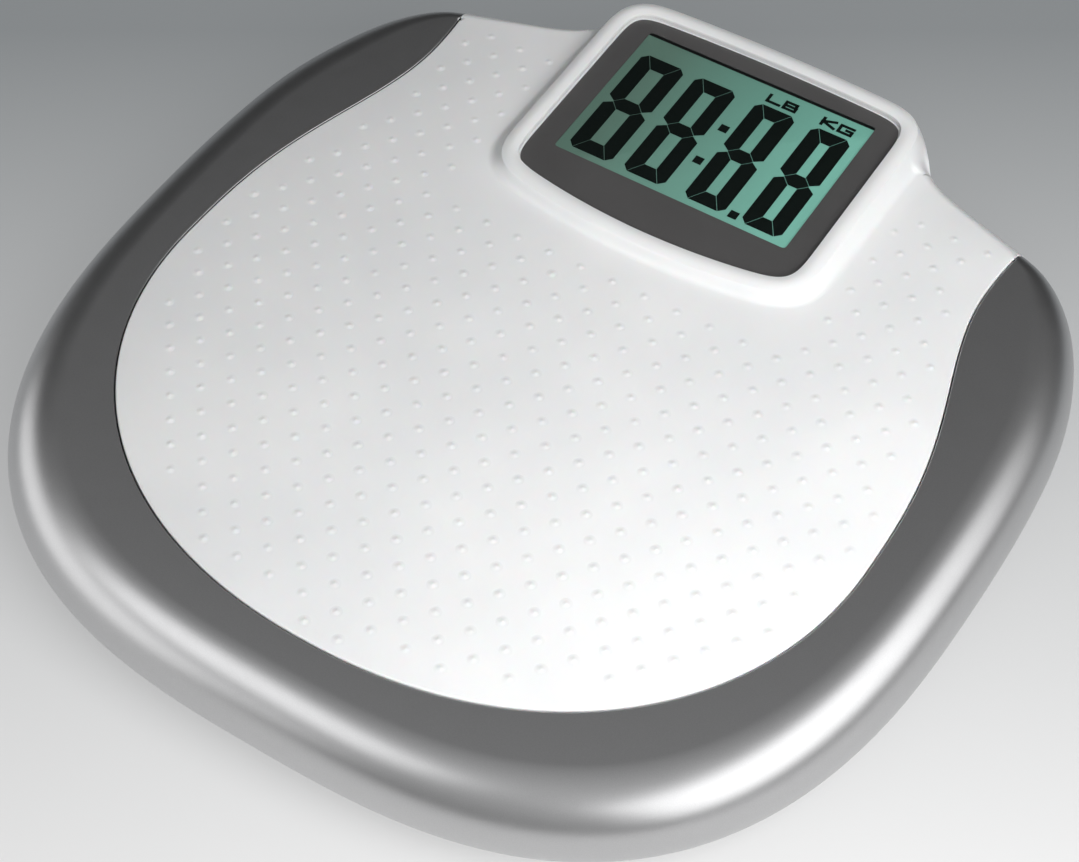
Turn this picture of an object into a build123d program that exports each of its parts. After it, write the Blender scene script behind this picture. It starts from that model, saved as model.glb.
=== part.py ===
"""Digital bathroom scale with a moulded deck, a jumbo display in a raised hood and four load-cell feet.

Frame: millimetres, +Z up, +X to the user's right, +Y from the user's heels towards the display.
The origin is on the floor, under the middle of the scale.
"""

from build123d import *
from math import copysign, cos, hypot, pi, radians, sin
import os

# ---------------------------------------------------------------- driving sizes
HALF_WIDTH = 160.0  # the body at its widest
HALF_DEPTH = 162.0
WIDEST_Y = 10.0  # where the body is widest
REAR_REACH = 154.7  # the rear half's reach, from WIDEST_Y
SQUARENESS = 2.8  # exponent of the outline: 2 is an ellipse, more is squarer

BASE_Z = 9.0  # underside of the base tray, held off the floor by the feet
SEAM_Z = 15.0  # joint between the base tray and the shell
EQUATOR_Z = 23.0  # where the bullnose side is widest
DECK_Z = 41.0  # top of the deck
SKIRT_Z = 33.0  # lower edge of the deck's rear skirt

RING_WIDTH = 29.0  # from the side of the body in to the flat top
UNDERCUT = 0.55  # the underside's inset, as a share of the ring's
WALL = 2.8  # wall of the shell, the deck and the base
SEAM_GAP = 0.4  # between the deck's edge and the shell

# Deck outline: a wide front bowl, a neck beside the hood, and a flare at the rear corners.
DECK_HALF_WIDTH = 130.2
DECK_FRONT_Y = -133.6
DECK_WIDEST_Y = -18.0
DECK_BOWL = 2.15  # exponent of the bowl
NECK_HALF_WIDTH = 110.7
NECK_Y = 100.0
FLARE_Y = 121.0  # where the flare has widened the deck by FLARE
FLARE = 1.5

# Display hood and the window in it.
HOOD_TILT = 2.1
HOOD_Y = 105.5  # the window's centre
HOOD_Z = 46.8  # the window's face, at its centre
WINDOW_HALF_WIDTH = 55.5
WINDOW_HALF_DEPTH = 47.2
WINDOW_WALL = 1.8
TAPE = 0.3
GLASS = (100.0, 74.0, 2.2)  # the LCD's glass
GUIDE = (93.0, 62.0, 3.0)  # the light guide under it
BOARD = (108.0, 84.0, 1.6)
POCKET_TOP = -4.3  # ceiling of the deck's pocket, under the window's face
GLASS_TOP = -WINDOW_WALL - TAPE - 0.4  # these heights too are measured from the window's face
GLASS_FLOOR = GLASS_TOP - GLASS[2]
GUIDE_FLOOR = GLASS_FLOOR - GUIDE[2]
BOARD_TOP = GUIDE_FLOOR - 2.1
BOARD_FLOOR = BOARD_TOP - BOARD[2]
FRAME_SCREWS = [(x, v) for x in (-52, 52) for v in (-38, 38)]
HEADER_HEIGHT = 5.0  # of the plug housings under the board
HEADER_FLOOR_Z = HOOD_Z + BOARD_FLOOR - HEADER_HEIGHT + 0.3

# Feet, one under each load cell.
FOOT_X = 96.0
FOOT_Y = {"front": -84.0, "rear": 80.0}
FOOT_TRAVEL = 0.8
CORNERS = [(end, side) for end in ("front", "rear") for side in ("left", "right")]

# Battery bay, with four AAA cells side by side.
BAY = 26.0  # half of the square opening
CELL_R = 5.25
CELL_LENGTH = 44.5
CELL_PITCH = 11.0
CELL_Z = 17.1
BAY_ROOF_Z = CELL_Z + CELL_R + 0.6
DOOR_WALL = 2.0
HINGE_X = -24.6  # axis of the battery door, along Y
HINGE_Z = 10.1

BUTTON_XY = (41.0, 0.0)
BUTTON_TRAVEL = 0.6
BUTTON_TOP_Z = 14.8
PLUNGER_TOP_Z = 16.7
SWITCH_BOARD_Z = 18.8

BASE_SCREWS = [(0, -140), (138, -25), (-138, -25), (134, 88), (-134, 88)]
RAIL_TOP_Z = 31.5
RAIL_FOOT_Z = 20.0
RAIL_SCREWS = [(x, y + t * 13.5) for y in FOOT_Y.values() for x in (-50, 50) for t in (-1, 1)]
RIB_FLOOR_Z = 26.0
RIBS_ALONG = [(-78, 90), (-66, 90), (-34, 54), (0, 54), (34, 54), (66, 90), (78, 90)]  # x, rear end
STEEL = 1.2
WIRE_R = 0.6
FLOOR_Z = BASE_Z + WALL  # inside face of the base tray
CELL_PLATE_Z = FLOOR_Z + 2.8  # underside of the load-cell plates


# ---------------------------------------------------------------- helpers
def write(node, shape):
    """One STEP file holds one named piece."""
    solids = shape.solids()
    export_step(solids[0] if len(solids) == 1 else Compound(children=solids), f"parts/{node}.step")


def block(x0, x1, y0, y1, z0, z1):
    """A box between two corners."""
    size = (x1 - x0, y1 - y0, z1 - z0)
    return Pos((x0 + x1) / 2, (y0 + y1) / 2, (z0 + z1) / 2) * Box(*size)


def post(x, y, z0, z1, radius):
    """An upright cylinder."""
    return Pos(x, y, (z0 + z1) / 2) * Cylinder(radius, z1 - z0)


def signed_power(value, power):
    """A power that keeps the value's sign."""
    return copysign(abs(value) ** power, value)


def between(start, end, share):
    """The point at that share of the way from start to end."""
    return (start[0] + (end[0] - start[0]) * share, start[1] + (end[1] - start[1]) * share)


def towards(start, end, distance):
    """The point that far along the line from start to end."""
    return between(start, end, distance / hypot(end[0] - start[0], end[1] - start[1]))


# ---------------------------------------------------------------- the body's outer form
# The rear edge is scooped in beside the hood. Each station pairs a point on the widest line with
# the point above it where the flat top begins.
REAR_STATIONS = [
    ((149.0, 93.5), (122.0, 85.5)),
    ((143.0, 106.0), (119.5, 99.0)),
    ((135.0, 117.0), (116.8, 109.5)),
    ((125.5, 124.9), (113.2, 116.6)),
    ((113.0, 129.8), (107.5, 121.0)),
    ((97.0, 134.2), (94.0, 126.0)),
    ((82.5, 139.0), (79.5, 131.2)),
    ((71.5, 144.8), (68.0, 138.4)),
    ((63.5, 152.4), (59.6, 149.2)),
    ((54.0, 158.9), (51.8, 155.6)),
    ((40.0, 161.3), (39.4, 157.9)),
    ((20.0, 161.9), (19.8, 158.7)),
    ((0.0, 162.0), (0.0, 158.9)),
]


def side_station(turn):
    """The same pair on the front and the sides, from the outline's formula."""
    power = 2 / SQUARENESS
    reach = REAR_REACH if turn > 0 else HALF_DEPTH + WIDEST_Y
    across, along = signed_power(cos(turn), power), signed_power(sin(turn), power)
    outer = (HALF_WIDTH * across, WIDEST_Y + reach * along)
    top = ((HALF_WIDTH - RING_WIDTH) * across, WIDEST_Y + (reach - RING_WIDTH) * along)
    return outer, top


def stations():
    """Pairs of points round the whole body, from the middle of the front edge."""
    turns = [radians(t) for t in (-90, -85, -79, -72, -64, -56, -47, -38, -29, -20, -11, -3, 7, 16)]
    right = [side_station(t) for t in turns] + REAR_STATIONS
    left = [((-e[0], e[1]), (-p[0], p[1])) for e, p in reversed(right[1:-1])]
    return right + left


def body_form(inset):
    """The closed outer form of the whole body, or the same form a wall's thickness inside it."""
    rings = []
    for angle in (-90, -65, -40, -18, 0, 18, 36, 54, 72, 90):
        lean = radians(angle)
        rise = DECK_Z - EQUATOR_Z if angle > 0 else EQUATOR_Z - BASE_Z
        points = []
        for outer, top in stations():
            start = towards(outer, top, inset) if inset else outer
            end = towards(top, outer, -inset / 2) if inset else top
            share = (1 - cos(lean)) * (1 if angle > 0 else UNDERCUT)
            points.append(between(start, end, share))
        height = EQUATOR_Z + (rise - inset) * sin(lean)
        rings.append(Pos(0, 0, height) * make_face(Spline(*points, periodic=True)))
    return loft(rings)


def deck_half_width(y):
    """Half of the deck's width at that distance back."""
    if y <= DECK_WIDEST_Y:
        drop = (DECK_WIDEST_Y - y) / (DECK_WIDEST_Y - DECK_FRONT_Y)
        return DECK_HALF_WIDTH * max(0.0, 1 - drop**DECK_BOWL) ** (1 / DECK_BOWL)
    if y <= NECK_Y:
        share = (y - DECK_WIDEST_Y) / (NECK_Y - DECK_WIDEST_Y)
        return DECK_HALF_WIDTH - (DECK_HALF_WIDTH - NECK_HALF_WIDTH) * sin(pi / 2 * share**1.35) ** 2
    return NECK_HALF_WIDTH + FLARE * ((y - NECK_Y) / (FLARE_Y - NECK_Y)) ** 2


def deck_prism(z0, z1, grow=0.0):
    """The deck's outline as an upright prism, grown outwards by a gap, and open at the rear."""
    bowl = [DECK_FRONT_Y + (DECK_WIDEST_Y - DECK_FRONT_Y) * (1 - cos(pi / 2 * n / 9)) for n in range(1, 10)]
    ys = bowl + [2, 22, 42, 58, 72, 86, 100, 112, 122, 134]
    right = []
    for y in ys:
        slope = deck_half_width(y + 0.5) - deck_half_width(y - 0.5)
        length = hypot(1, slope)
        right.append((deck_half_width(y) + grow / length, y - grow * slope / length))
    left = [(-x, y) for x, y in reversed(right)]
    edge = Spline(*left, (0, DECK_FRONT_Y - grow), *right)
    far = HALF_DEPTH + 12
    close = Polyline(right[-1], (right[-1][0], far), (left[0][0], far), left[0])
    return Pos(0, 0, z0) * extrude(make_face([*edge.edges(), *close.edges()]), z1 - z0)


# ---------------------------------------------------------------- shell, deck and base
def shell(outer, inner):
    """Silver upper shell: the bullnose ring, its lower wall, the ledge under the deck and screw posts."""
    seat = DECK_Z - WALL - 1.0
    ledge = deck_prism(seat - 2.5, seat + 1.6, 6) - deck_prism(seat - 9, seat + 9, -6)
    ledge -= [deck_prism(seat, seat + 9, SEAM_GAP), block(-200, 200, 84, 200, 0, 60)]
    posts = [post(x, y, SEAM_Z + 2, DECK_Z - 1.5, 4.5) for x, y in BASE_SCREWS]
    pilot_holes = [post(x, y, SEAM_Z, SEAM_Z + 15, 1.6) for x, y in BASE_SCREWS]
    ring = outer - inner
    ring -= [block(-200, 200, -200, 200, 0, SEAM_Z), deck_prism(SKIRT_Z - 0.3, DECK_Z + 20, SEAM_GAP)]
    return ring + [ledge] + posts - pilot_holes


def hood_outline(half_width, front_y, rear_y, front_radius, rear_radius, bow):
    """A rounded shield: straight sides, a front edge bowed forwards and a nearly straight rear edge."""
    front = ThreePointArc((-half_width, front_y + bow), (0, front_y), (half_width, front_y + bow))
    rear = ThreePointArc((half_width, rear_y - 1.8), (0, rear_y), (-half_width, rear_y - 1.8))
    sides = [Line(front @ 1, rear @ 0), Line(rear @ 1, front @ 0)]
    face = make_face([*front.edges(), *sides[0].edges(), *rear.edges(), *sides[1].edges()])
    face = fillet(face.vertices().sort_by(Axis.Y)[-2:], rear_radius)
    return fillet(face.vertices().sort_by(Axis.Y)[:2], front_radius)


def window_outline(shrink=0.0):
    """The window's outline about its own centre."""
    return hood_outline(WINDOW_HALF_WIDTH - shrink, shrink - WINDOW_HALF_DEPTH - 0.5,
                        WINDOW_HALF_DEPTH - shrink, 9 - shrink / 2, 8 - shrink / 2, 6.5)


HOOD_PLANE = Plane(origin=(0, HOOD_Y, HOOD_Z), x_dir=(1, 0, 0),
                   z_dir=(0, -sin(radians(HOOD_TILT)), cos(radians(HOOD_TILT))))


def in_hood(shape):
    """Places a shape drawn with the window's face at z = 0 in the tilted hood."""
    return HOOD_PLANE.location * shape


def deck(outer, inner):
    """White deck with its display hood in one moulding: plate, rear skirt, hood, window seat and ribs."""
    plate = (outer - inner) & deck_prism(SKIRT_Z, DECK_Z + 1)
    foot = Pos(0, 0, DECK_Z - 2.5) * hood_outline(66.3, 52.3, 160.0, 15, 13, 5)
    crest = in_hood(Pos(0, 0, 0.8) * hood_outline(60.6, 54.6 - HOOD_Y, 157.6 - HOOD_Y, 12, 11, 6))
    window_seat = in_hood(Pos(0, 0, -WINDOW_WALL - TAPE) * extrude(window_outline(-0.15), 9))
    pocket = in_hood(Pos(0, -1, -20) * extrude(RectangleRounded(116, 92, 4), 20 + POCKET_TOP))
    opening = in_hood(Pos(0, 0, -12) * extrude(Rectangle(GLASS[0] + 2, GLASS[1] + 2), 12))
    return plate + [loft([foot, crest], ruled=True), *ribs()] - [window_seat, pocket, opening]


def ribs():
    """Stiffening ribs that stand on the steel rails, and hang deeper between them."""
    tops = [FOOT_Y["front"] - 8, FOOT_Y["front"] + 8]
    across = [block(-102, 102, y - 1, y + 1, RAIL_TOP_Z, DECK_Z - 1) for y in tops]
    across += [block(-104, 104, y - 1, y + 1, RIB_FLOOR_Z, DECK_Z - 1) for y in (-50, -22, 6, 34)]
    along = [block(x - 1, x + 1, -112, reach, RAIL_TOP_Z, DECK_Z - 1) for x, reach in RIBS_ALONG]
    first, last = FOOT_Y["front"] + 19, FOOT_Y["rear"] - 19
    deep = [block(x - 1, x + 1, first, min(reach, last), RIB_FLOOR_Z, DECK_Z - 1) for x, reach in RIBS_ALONG]
    beside = [block(s * 82 - 19, s * 82 + 19, y - 1, y + 1, RAIL_TOP_Z, DECK_Z - 1)
              for s in (-1, 1) for y in (FOOT_Y["rear"] - 8, FOOT_Y["rear"] + 8)]
    grid = across[0] + across[1:] + along + deep + beside
    return (grid & deck_prism(RIB_FLOOR_Z, DECK_Z - 1, -9)).solids()


def base(outer, inner):
    """Base tray: floor, load-cell wells, screw bosses, battery bay and button guide."""
    inside = [post(x, y, FLOOR_Z - 0.5, SEAM_Z + 1.9, 5) for x, y in BASE_SCREWS]
    inside += [post(x, y, FLOOR_Z - 0.5, RAIL_FOOT_Z, 4) for x, y in RAIL_SCREWS]
    inside += [foot_well(foot_x(side), FOOT_Y[end]) for end, side in CORNERS]
    inside += [battery_bay(), *button_posts()]
    holes = [post(x, y, BASE_Z - 1, BASE_Z + 3.2, 3.6) for x, y in BASE_SCREWS]
    holes += [post(x, y, BASE_Z, SEAM_Z + 4, 1.8) for x, y in BASE_SCREWS]
    holes += [post(x, y, RAIL_FOOT_Z - 6, RAIL_FOOT_Z + 1, 1.6) for x, y in RAIL_SCREWS]
    holes += [post(foot_x(side), FOOT_Y[end], BASE_Z - 1, FLOOR_Z + 1, 13) for end, side in CORNERS]
    holes += [post(*BUTTON_XY, BASE_Z - 1, FLOOR_Z + 1, 4.35), nail_recess()]
    holes += [block(-BAY, BAY, -BAY, BAY, BASE_Z - 1, BAY_ROOF_Z)]
    holes += [block(-BAY - 6, -BAY + 1, y - 4.6, y + 4.6, FLOOR_Z, FLOOR_Z + 5) for y in (-14, 14)]
    tray = outer - [inner, block(-200, 200, -200, 200, SEAM_Z, 60)]
    return tray + inside - holes


def foot_x(side):
    """Where a side's two feet stand."""
    return FOOT_X if side == "right" else -FOOT_X


def foot_well(x, y):
    """A round wall and a seat for one load cell, with a slot for its leads."""
    well = post(x, y, FLOOR_Z - 0.5, RAIL_FOOT_Z, 30) - post(x, y, CELL_PLATE_Z, RAIL_FOOT_Z + 1, 27)
    well -= post(x, y, 0, CELL_PLATE_Z + 1, 14.2)
    inward = -copysign(1, x)
    return well - block(min(x, x + inward * 34), max(x, x + inward * 34), y + 5.5, y + 12.5,
                        CELL_PLATE_Z, RAIL_FOOT_Z + 1)


def battery_bay():
    """Walls and a roof over the battery opening."""
    return block(-BAY - 2, BAY + 2, -BAY - 2, BAY + 2, FLOOR_Z - 0.5, BAY_ROOF_Z + 1.6)


def nail_recess():
    """A scoop in the floor beside the door's latch."""
    return Pos(BAY, 0, BASE_Z - 5.4) * Sphere(8) & block(BAY - 1, BAY + 12, -12, 12, 0, FLOOR_Z - 1)


def button_posts():
    """Two posts that carry the switch board."""
    x, y = BUTTON_XY
    spots = [(x, y - 9), (x, y + 9)]
    return [post(*spot, FLOOR_Z - 0.5, SWITCH_BOARD_Z, 2.2) - post(*spot, 14, 18.9, 0.9) for spot in spots]


# ---------------------------------------------------------------- display
def window():
    """Clear window, bonded into the hood."""
    return in_hood(Pos(0, 0, -WINDOW_WALL) * extrude(window_outline(), WINDOW_WALL))


def window_mask():
    """Printed, self-adhesive frame that hides the glass's edges."""
    frame = extrude(window_outline(0.4), TAPE) - extrude(Rectangle(92, 64), TAPE)
    return in_hood(Pos(0, 0, -WINDOW_WALL - TAPE) * frame)


def glass():
    """The LCD: two sheets of glass bonded together."""
    return in_hood(Pos(0, 0, GLASS_TOP - GLASS[2] / 2) * Box(*GLASS))


def light_guide():
    """Edge-lit sheet behind the glass."""
    return in_hood(Pos(-1, 0, GLASS_FLOOR - GUIDE[2] / 2) * Box(*GUIDE))


def led_bar():
    """Narrow strip of green lamps along one edge of the light guide."""
    strip = Pos(48.3, 0, GLASS_FLOOR - 1.6) * Box(1.0, 56, 2.6)
    lamps = [Pos(47.1, y, GLASS_FLOOR - 1.6) * Box(1.4, 3.0, 1.6) for y in (-20, 0, 20)]
    return in_hood(strip + lamps)


def glass_frame():
    """Tray that carries the glass and the light guide, and clamps the contact strips."""
    height = POCKET_TOP - BOARD_TOP
    frame = Pos(0, -1, BOARD_TOP + height / 2) * Box(112, 88, height)
    frame -= Pos(0, 0, GUIDE_FLOOR + 8) * Box(GLASS[0] + 0.4, GLASS[1] + 0.4, 16)
    for v in (-34.4, 34.4):
        frame -= Pos(0, v, BOARD_TOP) * Box(92.6, 2.8, 20)
    for x, v in FRAME_SCREWS:
        frame -= Pos(x, v, BOARD_TOP + 2) * Cylinder(1.05, 4.4)
    return in_hood(frame)


def contact_strips():
    """Two rubber strips that join the glass's edge contacts to the board."""
    height = GLASS_FLOOR - BOARD_TOP
    strips = [Pos(0, v, BOARD_TOP + height / 2) * Box(92, 2.2, height) for v in (-34.4, 34.4)]
    return in_hood(strips[0] + strips[1])


def board():
    """Main circuit board."""
    sheet = Pos(0, 0, BOARD_TOP - BOARD[2] / 2) * Box(*BOARD)
    for x, v in FRAME_SCREWS:
        sheet -= Pos(x, v, BOARD_TOP) * Cylinder(1.3, 8)
    return in_hood(sheet)


def chip_cover():
    """Black resin drop over the processor."""
    ball = Pos(0, 26, BOARD_FLOOR + 12.6) * Sphere(15)
    return in_hood(ball & (Pos(0, 26, BOARD_FLOOR - 5) * Box(40, 40, 10)))


def board_parts():
    """Parts soldered under the board: crystal, capacitors, amplifier and small chips."""
    crystal = Pos(-14, 16, BOARD_FLOOR - 1.5) * Box(10, 3.6, 3)
    capacitors = [Pos(x, 32, BOARD_FLOOR - 3.5) * Cylinder(2.5, 7) for x in (16, 23)]
    amplifier = Pos(24, 18, BOARD_FLOOR - 0.9) * Box(8.6, 5.2, 1.8)
    chips = [Pos(x, 12, BOARD_FLOOR - 0.5) * Box(2, 1.2, 1) for x in range(-6, 19, 6)]
    return in_hood(crystal + capacitors + amplifier + chips)


def lead_headers():
    """Plug housings where the load cells' leads meet the board."""
    low = BOARD_FLOOR - HEADER_HEIGHT / 2
    return in_hood(Compound(children=[Pos(x, 14, low) * Box(13, 7, HEADER_HEIGHT) for x in (-38, 38)]))


def frame_screws():
    """Four small screws up through the board into the glass frame."""
    screws = [Pos(x, v, BOARD_FLOOR) * small_screw(1.0, 2.0, 5.0) for x, v in FRAME_SCREWS]
    return in_hood(screws[0] + screws[1:])


def small_screw(shank, head, length):
    """A pan-head screw with its seat at z = 0, pointing up, and a cross slot in its head."""
    body = Pos(0, 0, length / 2) * Cylinder(shank, length) + Pos(0, 0, -0.7) * Cylinder(head, 1.4)
    slot = Box(head * 1.3, 0.5, 1.0) + Box(0.5, head * 1.3, 1.0)
    return body - Pos(0, 0, -1.2) * slot


# ---------------------------------------------------------------- load cells and feet
def cell_holder(x, y):
    """Plastic cap that the rail presses down on, with the load cell's plate in its underside."""
    ring = post(x, y, CELL_PLATE_Z, RAIL_FOOT_Z, 26.7) - post(x, y, CELL_PLATE_Z - 1, RAIL_FOOT_Z + 1, 14.5)
    ring -= block(x - 18.2, x + 18.2, y - 18.2, y + 18.2, CELL_PLATE_Z - 1, CELL_PLATE_Z + STEEL)
    inward = -copysign(1, x)
    return ring - block(min(x, x + inward * 30), max(x, x + inward * 30), y + 5.5, y + 12.5,
                        CELL_PLATE_Z, RAIL_FOOT_Z + 1)


def load_cell(x, y):
    """Spring-steel plate: an outer frame, and a tongue that the foot bends."""
    plate = block(x - 18, x + 18, y - 18, y + 18, CELL_PLATE_Z, CELL_PLATE_Z + STEEL)
    low, high = CELL_PLATE_Z - 1, CELL_PLATE_Z + 3
    slots = [block(x + mid - 2, x + mid + 2, y - 13, y + 12, low, high) for mid in (-10.5, 10.5)]
    return plate - [*slots, block(x - 12.5, x + 12.5, y - 13, y - 10, low, high)]


def strain_gauge(x, y):
    """Foil gauge and its resin on the tongue."""
    return block(x - 5, x + 5, y + 6, y + 12, CELL_PLATE_Z + STEEL, CELL_PLATE_Z + STEEL + 0.6)


def foot(x, y):
    """Foot cup: a disc that takes the pad, three retaining hooks and the stem that bends the tongue."""
    top = BASE_Z - FOOT_TRAVEL - 0.3
    cup = post(x, y, 3.0, top, 18.5)
    rim = post(x, y, 1.4, 3.0, 18.5) - post(x, y, 1.3, 3.1, 17.1)
    hooks = []
    for turn in (90, 210, 330):
        arm = block(9.6, 11.8, -3, 3, top - 0.5, FLOOR_Z + 1.6)
        nib = block(11, 13.5, -2, 2, FLOOR_Z + 0.1, FLOOR_Z + 1.6)
        hooks.append(Pos(x, y) * Rot(0, 0, turn) * (arm + nib))
    return cup + [rim, post(x, y, top - 0.5, CELL_PLATE_Z, 5), *hooks]


def foot_pad(x, y):
    """Ribbed rubber pad."""
    pad = post(x, y, 0, 3.0, 17)
    return pad - [post(x, y, -1, 0.6, radius + 0.8) - post(x, y, -2, 1, radius) for radius in (6, 11)]


# ---------------------------------------------------------------- steel rails
def rail(length):
    """A folded hat section along X, standing on its two flanges."""
    folds = [block(-length / 2, length / 2, -10, 10, RAIL_TOP_Z - STEEL, RAIL_TOP_Z)]
    for side in (-1, 1):
        edges = sorted([side * (10 - STEEL), side * 10])
        folds.append(block(-length / 2, length / 2, *edges, RAIL_FOOT_Z, RAIL_TOP_Z))
        edges = sorted([side * (10 - STEEL), side * 17])
        folds.append(block(-length / 2, length / 2, *edges, RAIL_FOOT_Z, RAIL_FOOT_Z + STEEL))
    return folds[0] + folds[1:]


def cross_rail(y):
    """Rail from the left cell to the right one."""
    return Pos(0, y) * rail(2 * (FOOT_X + 23)) - [post(x, hole_y, 19, 23, 1.6) for x, hole_y in RAIL_SCREWS]


# ---------------------------------------------------------------- battery bay pieces
def battery_door():
    """Snap-in door: plate, rolled hinge edge, two tabs and a latch tongue."""
    plate = block(HINGE_X, BAY - 0.3, -BAY + 0.3, BAY - 0.3, BASE_Z, BASE_Z + DOOR_WALL)
    edge = Pos(HINGE_X, 0, HINGE_Z) * Rot(90, 0, 0) * Cylinder(1.1, 2 * BAY - 0.6)
    door = plate + (edge & block(-40, 0, -40, 40, BASE_Z, 20))
    tabs = []
    for y in (-14, 14):
        tabs.append(block(HINGE_X - 1.1, HINGE_X + 0.6, y - 4, y + 4, HINGE_Z, FLOOR_Z + 1.7))
        tabs.append(block(HINGE_X - 4.2, HINGE_X + 0.6, y - 4, y + 4, FLOOR_Z + 0.4, FLOOR_Z + 1.7))
    tongue = block(BAY - 1.8, BAY - 0.6, -7, 7, BASE_Z + 1, BASE_Z + 5)
    grooves = [BAY - 9 + n * 1.6 for n in range(4)]
    grip = [block(x, x + 0.8, -6, 6, BASE_Z - 0.1, BASE_Z + 0.5) for x in grooves]
    return door + [tongue, *tabs] - grip


def battery(place):
    """One AAA cell, with its raised terminal, turned end for end from its neighbour."""
    x = (place - 1.5) * CELL_PITCH
    can = Cylinder(CELL_R, CELL_LENGTH - 1.2) + Pos(0, 0, CELL_LENGTH / 2) * Cylinder(1.9, 1.2)
    return Pos(x, 0, CELL_Z) * Rot(90 if place % 2 else -90, 0, 0) * Pos(0, 0, -0.6) * can


def contact_springs():
    """Coils that press on the flat end of each cell."""
    coils = []
    for place in range(4):
        line = Helix(pitch=1.1, height=2.6, radius=2.6)
        wire = sweep(Plane(line @ 0, z_dir=line % 0) * Circle(0.25), path=line, is_frenet=True)
        side = 1 if place % 2 else -1
        seat = side * (BAY - 0.55)
        x = (place - 1.5) * CELL_PITCH
        coils.append(Pos(x, seat, CELL_Z) * Rot(90 * side, 0, 0) * wire)
    return Compound(children=coils)


def contact_plates():
    """Strips on the bay's two ends, each with a raised button where it meets a cell's terminal."""
    strips = []
    for end in (-1, 1):
        for place in range(4):
            x = (place - 1.5) * CELL_PITCH
            ends = sorted([end * (BAY - 0.3), end * BAY])
            strip = block(x - 4.2, x + 4.2, *ends, CELL_Z - 4, CELL_Z + 4)
            if end == (-1 if place % 2 else 1):
                length = BAY - 0.3 - CELL_LENGTH / 2
                strip += Pos(x, end * (BAY - 0.3 - length / 2), CELL_Z) * Rot(90, 0, 0) * Cylinder(1.5, length)
            strips.append(strip.solid())
    return Compound(children=strips)


# ---------------------------------------------------------------- unit button
def unit_button():
    """Push button that changes the units, with a collar inside the tray."""
    x, y = BUTTON_XY
    cap = post(x, y, BASE_Z + 0.3, BUTTON_TOP_Z, 4.0)
    collar = post(x, y, FLOOR_Z + 0.05, FLOOR_Z + 1.2, 5.4)
    return cap + collar - Pos(x, y, BASE_Z + 0.3 - 9.4) * Sphere(10)


def switch_plunger():
    """Short pin that the button pushes into the switch."""
    return post(*BUTTON_XY, BUTTON_TOP_Z, PLUNGER_TOP_Z, 1.7)


def switch_body():
    """Click switch, soldered under its board."""
    x, y = BUTTON_XY
    guide = post(x, y, 15, PLUNGER_TOP_Z + BUTTON_TRAVEL + 0.4, 2.05)
    return block(x - 3.1, x + 3.1, y - 3.1, y + 3.1, SWITCH_BOARD_Z - 3.1, SWITCH_BOARD_Z) - guide


def switch_board():
    """Small board on two posts."""
    x, y = BUTTON_XY
    plate = block(x - 6, x + 6, y - 12, y + 12, SWITCH_BOARD_Z, SWITCH_BOARD_Z + 1.2)
    return plate - [post(x, y + side * 9, 18, 21, 1.1) for side in (-1, 1)]


def switch_screws():
    """Two small screws down into the posts."""
    x, y = BUTTON_XY
    screw = Rot(180, 0, 0) * small_screw(0.85, 1.9, 4.0)
    top = SWITCH_BOARD_Z + 1.2
    return Compound(children=[Pos(x, y + side * 9, top) * screw.solid() for side in (-1, 1)])


# ---------------------------------------------------------------- fasteners and leads
def base_screws():
    """Self-tapping screws from below, through the base tray into the shell's posts."""
    screw = small_screw(1.5, 3.2, 16).solid()
    return Compound(children=[Pos(x, y, BASE_Z + 3.2) * screw for x, y in BASE_SCREWS])


def rail_screws():
    """Short screws that hold the cross rails down on their bosses."""
    screw = (Rot(180, 0, 0) * small_screw(1.5, 3.0, 5)).solid()
    return Compound(children=[Pos(x, y, RAIL_FOOT_Z + STEEL) * screw for x, y in RAIL_SCREWS])


def wires(route, count, bend):
    """Wires along one route, each a little above, beside and behind the one before it."""
    bundle = []
    for n in range(count):
        points = [(x + n, y + n, z + n) for x, y, z in route]
        points[-1] = (points[-1][0], points[-1][1], route[-1][2])
        path = FilletPolyline(*points, radius=bend)
        bundle.append(sweep(Plane(path @ 0, z_dir=path % 0) * Circle(WIRE_R), path=path).solid())
    return Compound(children=bundle)


def cell_lead(end, side):
    """Three wires from a load cell, along the floor of the tray and up to the board's header."""
    y = FOOT_Y[end] + 7.5
    top = CELL_PLATE_Z + STEEL + 0.8
    low = FLOOR_Z + 0.8
    turn_x = {"front": 60.0, "rear": 63.0}[end]
    rear_y = {"front": 117.0, "rear": 120.5}[end]
    header_x = {"front": 34.0, "rear": 40.0}[end]
    route = [(FOOT_X - 7.5, y, top), (turn_x, y, top), (turn_x, y, low), (turn_x, rear_y, low),
             (header_x, rear_y, low), (header_x, rear_y, HEADER_FLOOR_Z)]
    lead = wires(route, 3, 1.9)
    return lead if side == "right" else mirror(lead, Plane.YZ)


def battery_lead():
    """Two wires from the battery bay to the board."""
    low = FLOOR_Z + 0.8
    return wires([(4, BAY + 2.1, low), (4, 110, low), (4, 110, HOOD_Z + BOARD_FLOOR - 0.1)], 2, 4)


def switch_lead():
    """Two wires from the switch board to the main board."""
    x, y = BUTTON_XY
    low = FLOOR_Z + 0.8
    route = [(x, y + 12.1, 19.4), (x, y + 18, 19.4), (x, y + 18, low), (x, 108, low),
             (x, 108, HOOD_Z + BOARD_FLOOR - 0.1)]
    return wires(route, 2, 3)


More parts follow.
